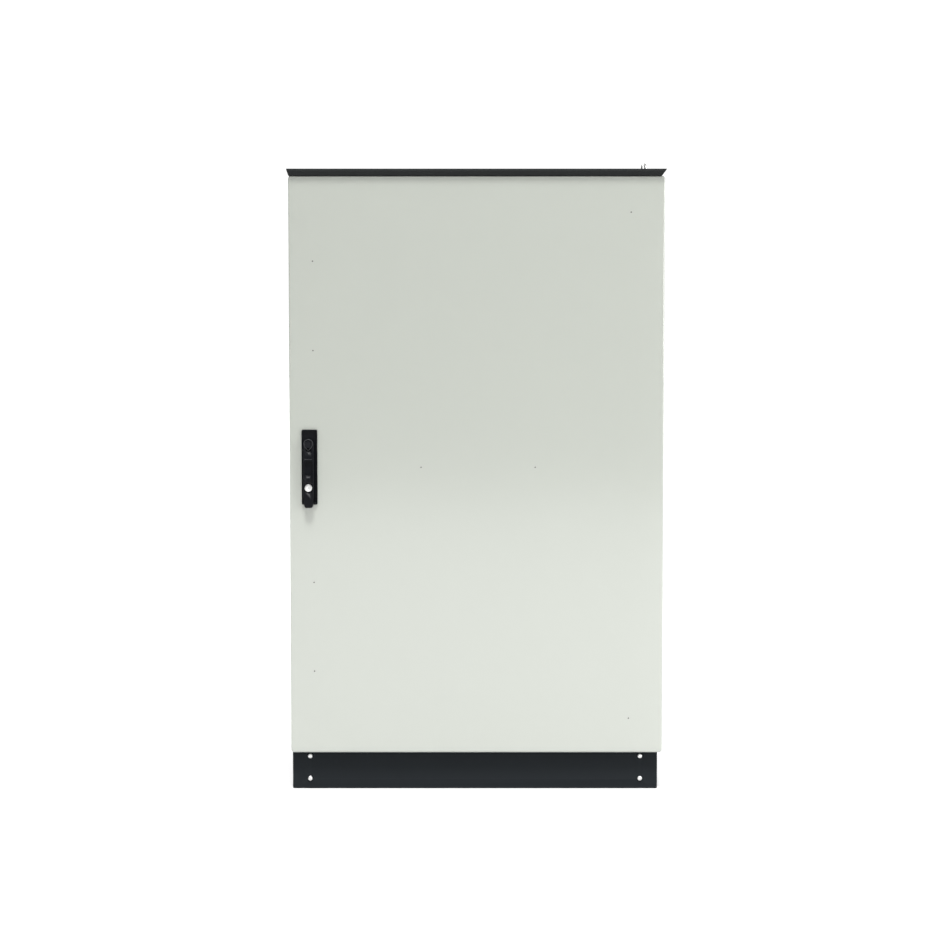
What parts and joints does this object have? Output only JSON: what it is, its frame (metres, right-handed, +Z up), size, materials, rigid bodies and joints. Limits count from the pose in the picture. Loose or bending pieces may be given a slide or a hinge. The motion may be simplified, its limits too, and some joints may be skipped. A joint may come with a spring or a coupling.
{
  "type": "battery cabinet",
  "caption": "Floor-standing sheet-metal battery cabinet with a hinged door, swing handle, rain roof and plinth, holding shelves of battery blocks and DC gear.",
  "frame": {"origin": "on the floor at the centre of the floor-fixing holes", "axes": "+Z up, -Y out of the door, +X towards the hinges"},
  "size_m": [1.02, 0.5543, 1.722],
  "materials": {
    "grey_powder": "fine textured powder coat",
    "dark_powder": "satin powder coat",
    "zinc_steel": "zinc plated",
    "bright_steel": "bright plated",
    "black_plastic": "moulded",
    "battery_lid": "moulded",
    "grey_plastic": "moulded",
    "insulator_red": "moulded resin",
    "foam_rubber": "closed-cell foam",
    "copper": "bare copper",
    "lead": "lead alloy"
  },
  "bodies": {
    "cabinet": {"base_panel": "grey_powder", "battery_cases": "black_plastic", "battery_lids": "battery_lid", "battery_links": "copper", "battery_shelves": "zinc_steel", "battery_terminals": "lead", "breaker_case": "grey_plastic", "busbar_insulators": "insulator_red", "busbars": "copper", "cable_glands": "black_plastic", "din_rail": "zinc_steel", "earth_bar": "copper", "front_rails": "grey_powder", "front_stiles": "grey_powder", "fuse_bases": "black_plastic", "fuse_cartridges": "grey_plastic", "gland_plate": "zinc_steel", "hinge_frame_leaves": "bright_steel", "hinge_pins": "bright_steel", "lifting_eyebolts": "bright_steel", "mounting_plate": "zinc_steel", "plate_spacers": "zinc_steel", "plinth_bolts": "bright_steel", "plinth_corners": "zinc_steel", "plinth_front": "dark_powder", "plinth_rear": "dark_powder", "plinth_side_left": "dark_powder", "plinth_side_right": "dark_powder", "rain_roof": "dark_powder", "rear_panel": "grey_powder", "rod_keepers": "zinc_steel", "roof_plugs": "black_plastic", "roof_spacers": "zinc_steel", "shelf_rails": "zinc_steel", "side_panel_left": "grey_powder", "side_panel_right": "grey_powder", "side_vents": "grey_powder", "top_panel": "grey_powder"},
    "door": {"door_skin": "grey_powder", "door_rivets": "zinc_steel", "door_stiffeners": "zinc_steel", "door_crossbar": "zinc_steel", "gasket_channels": "zinc_steel", "door_gasket": "foam_rubber", "door_earth_studs": "zinc_steel", "document_pocket": "grey_plastic", "hinge_door_leaves": "bright_steel", "handle_base": "black_plastic", "lock_case": "zinc_steel", "rod_guides": "zinc_steel"},
    "spindle": {"handle_spindle": "black_plastic", "drive_cam": "zinc_steel"},
    "lever": {"handle_lever": "black_plastic", "lever_pin": "black_plastic"},
    "plug": {"lock_plug": "bright_steel"},
    "rod_up": {"lock_rod_upper": "zinc_steel"},
    "rod_down": {"lock_rod_lower": "zinc_steel"},
    "toggle": {"breaker_toggle": "black_plastic"}
  },
  "joints": [
    {"name": "door_hinge", "type": "hinge", "parent": "cabinet", "child": "door", "pos_m": [0.505, -0.251, 0.885], "axis": [0, 0, 1], "range_deg": [0, 120]},
    {"name": "handle_swing", "type": "hinge", "parent": "door", "child": "spindle", "pos_m": [-0.4495, -0.28, 0.947], "axis": [0, -1, 0], "range_deg": [0, 90]},
    {"name": "lever_lift", "type": "hinge", "parent": "spindle", "child": "lever", "pos_m": [-0.4495, -0.2898, 0.947], "axis": [-1, 0, 0], "range_deg": [0, 30]},
    {"name": "lock_turn", "type": "hinge", "parent": "lever", "child": "plug", "pos_m": [-0.4495, -0.29, 0.83], "axis": [0, -1, 0], "range_deg": [0, 90]},
    {"name": "rod_up_slide", "type": "slide", "parent": "door", "child": "rod_up", "axis": [0, 0, -1], "range_m": [0, 0.0201]},
    {"name": "rod_down_slide", "type": "slide", "parent": "door", "child": "rod_down", "axis": [0, 0, 1], "range_m": [0, 0.0201]},
    {"name": "breaker_switch", "type": "hinge", "parent": "cabinet", "child": "toggle", "pos_m": [0, 0.14, 1.47], "axis": [1, 0, 0], "range_deg": [0, 35]}
  ],
  "couplings": [
    {"joint": "rod_up_slide", "follows": "handle_swing", "m_per_rad": 0.01273},
    {"joint": "rod_down_slide", "follows": "handle_swing", "m_per_rad": 0.01273}
  ]
}
